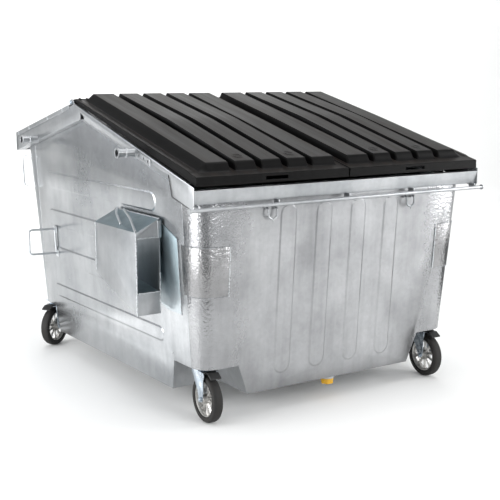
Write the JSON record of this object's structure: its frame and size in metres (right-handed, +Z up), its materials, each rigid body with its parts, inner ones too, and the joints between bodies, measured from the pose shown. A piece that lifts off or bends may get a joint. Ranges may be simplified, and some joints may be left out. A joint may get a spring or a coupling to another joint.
{
  "type": "front-loaded waste container",
  "caption": "Galvanised steel waste container with side fork pockets, ribbed plastic split lid, gabled rear roof and swivel casters.",
  "frame": {"origin": "centre of the bounding box in plan, at ground level under the wheels", "axes": "+X to the right seen from the front, +Y toward the rear roof, +Z up; the front wall with the rail faces -Y"},
  "size_m": [2.102, 2.2796, 1.6543],
  "materials": {
    "galvanised": "hot-dip galvanised sheet, mottled satin",
    "zinc_plated": "bright zinc plated pressed steel",
    "wheel_rim": "die-cast, lightly machined",
    "tyre": "matt solid rubber",
    "lid": "moulded polyethylene with a slight sheen",
    "pedal": "black nylon",
    "drain_plug": "yellow plastic"
  },
  "bodies": {
    "container": {"caster_fl_plate": "zinc_plated", "caster_fr_plate": "zinc_plated", "caster_rl_plate": "zinc_plated", "caster_rr_plate": "zinc_plated", "corner_patch_left": "galvanised", "corner_patch_right": "galvanised", "drain_socket": "galvanised", "floor_pan": "galvanised", "fork_pocket_left": "galvanised", "fork_pocket_right": "galvanised", "front_rail": "galvanised", "front_rim": "galvanised", "front_wall": "galvanised", "gable_left": "galvanised", "gable_right": "galvanised", "hinge_lug_left": "galvanised", "hinge_lug_right": "galvanised", "hinge_rod": "zinc_plated", "lashing_eye_left": "galvanised", "lashing_eye_right": "galvanised", "pocket_liner_left": "galvanised", "pocket_liner_right": "galvanised", "rear_handle_left": "galvanised", "rear_handle_right": "galvanised", "rear_roof": "galvanised", "rear_wall": "galvanised", "ridge_beam": "galvanised", "side_handle_left": "galvanised", "side_handle_right": "galvanised", "side_wall_left": "galvanised", "side_wall_right": "galvanised", "strap_left": "galvanised", "strap_right": "galvanised", "stub_front_left": "galvanised", "stub_front_right": "galvanised", "stub_rear_left": "galvanised", "stub_rear_right": "galvanised"},
    "lid_left": {"lid_left": "lid"},
    "lid_right": {"lid_right": "lid"},
    "drain_plug": {"drain_plug": "drain_plug"},
    "fork_fl": {"caster_fl_fork": "zinc_plated", "caster_fl_axle": "zinc_plated"},
    "wheel_fl": {"caster_fl_rim": "wheel_rim", "caster_fl_tyre": "tyre"},
    "pedal_fl": {"caster_fl_pedal": "pedal"},
    "fork_fr": {"caster_fr_fork": "zinc_plated", "caster_fr_axle": "zinc_plated"},
    "wheel_fr": {"caster_fr_rim": "wheel_rim", "caster_fr_tyre": "tyre"},
    "pedal_fr": {"caster_fr_pedal": "pedal"},
    "fork_rl": {"caster_rl_fork": "zinc_plated", "caster_rl_axle": "zinc_plated"},
    "wheel_rl": {"caster_rl_rim": "wheel_rim", "caster_rl_tyre": "tyre"},
    "pedal_rl": {"caster_rl_pedal": "pedal"},
    "fork_rr": {"caster_rr_fork": "zinc_plated", "caster_rr_axle": "zinc_plated"},
    "wheel_rr": {"caster_rr_rim": "wheel_rim", "caster_rr_tyre": "tyre"},
    "pedal_rr": {"caster_rr_pedal": "pedal"}
  },
  "joints": [
    {"name": "lid_left_hinge", "type": "hinge", "parent": "container", "child": "lid_left", "pos_m": [0, 0.25475, 1.606], "axis": [-1, 0, 0], "range_deg": [0, 148]},
    {"name": "lid_right_hinge", "type": "hinge", "parent": "container", "child": "lid_right", "pos_m": [0, 0.25475, 1.606], "axis": [-1, 0, 0], "range_deg": [0, 148]},
    {"name": "drain_plug_turn", "type": "hinge", "parent": "container", "child": "drain_plug", "pos_m": [0, -0.95125, 0.11], "axis": [0, 0, -1], "range_deg": [0, 90]},
    {"name": "swivel_fl", "type": "hinge", "parent": "container", "child": "fork_fl", "pos_m": [-0.756, -0.87625, 0.27], "axis": [0, 0, 1], "continuous": true},
    {"name": "wheel_fl_spin", "type": "hinge", "parent": "fork_fl", "child": "wheel_fl", "pos_m": [-0.75888, -0.93117, 0.125], "axis": [0.9986, -0.0523, 0], "continuous": true},
    {"name": "brake_fl", "type": "hinge", "parent": "fork_fl", "child": "pedal_fl", "pos_m": [-0.76013, -0.95514, 0.2704], "axis": [0.9986, -0.0523, 0], "range_deg": [0, 12], "stiffness_Nm_per_rad": 2, "springref_deg": -34.38},
    {"name": "swivel_fr", "type": "hinge", "parent": "container", "child": "fork_fr", "pos_m": [0.756, -0.87625, 0.27], "axis": [0, 0, 1], "continuous": true},
    {"name": "wheel_fr_spin", "type": "hinge", "parent": "fork_fr", "child": "wheel_fr", "pos_m": [0.75312, -0.93117, 0.125], "axis": [0.9986, -0.0523, 0], "continuous": true},
    {"name": "brake_fr", "type": "hinge", "parent": "fork_fr", "child": "pedal_fr", "pos_m": [0.75187, -0.95514, 0.2704], "axis": [0.9986, -0.0523, 0], "range_deg": [0, 12], "stiffness_Nm_per_rad": 2, "springref_deg": -34.38},
    {"name": "swivel_rl", "type": "hinge", "parent": "container", "child": "fork_rl", "pos_m": [-0.756, 0.97375, 0.27], "axis": [0, 0, 1], "continuous": true},
    {"name": "wheel_rl_spin", "type": "hinge", "parent": "fork_rl", "child": "wheel_rl", "pos_m": [-0.80213, 0.94379, 0.125], "axis": [0.5446, -0.8387, 0], "continuous": true},
    {"name": "brake_rl", "type": "hinge", "parent": "fork_rl", "child": "pedal_rl", "pos_m": [-0.82225, 0.93072, 0.2704], "axis": [0.5446, -0.8387, 0], "range_deg": [0, 12], "stiffness_Nm_per_rad": 2, "springref_deg": -34.38},
    {"name": "swivel_rr", "type": "hinge", "parent": "container", "child": "fork_rr", "pos_m": [0.756, 0.97375, 0.27], "axis": [0, 0, 1], "continuous": true},
    {"name": "wheel_rr_spin", "type": "hinge", "parent": "fork_rr", "child": "wheel_rr", "pos_m": [0.81016, 0.9833, 0.125], "axis": [-0.1736, 0.9848, 0], "continuous": true},
    {"name": "brake_rr", "type": "hinge", "parent": "fork_rr", "child": "pedal_rr", "pos_m": [0.8338, 0.98747, 0.2704], "axis": [-0.1736, 0.9848, 0], "range_deg": [0, 12], "stiffness_Nm_per_rad": 2, "springref_deg": -34.38}
  ]
}
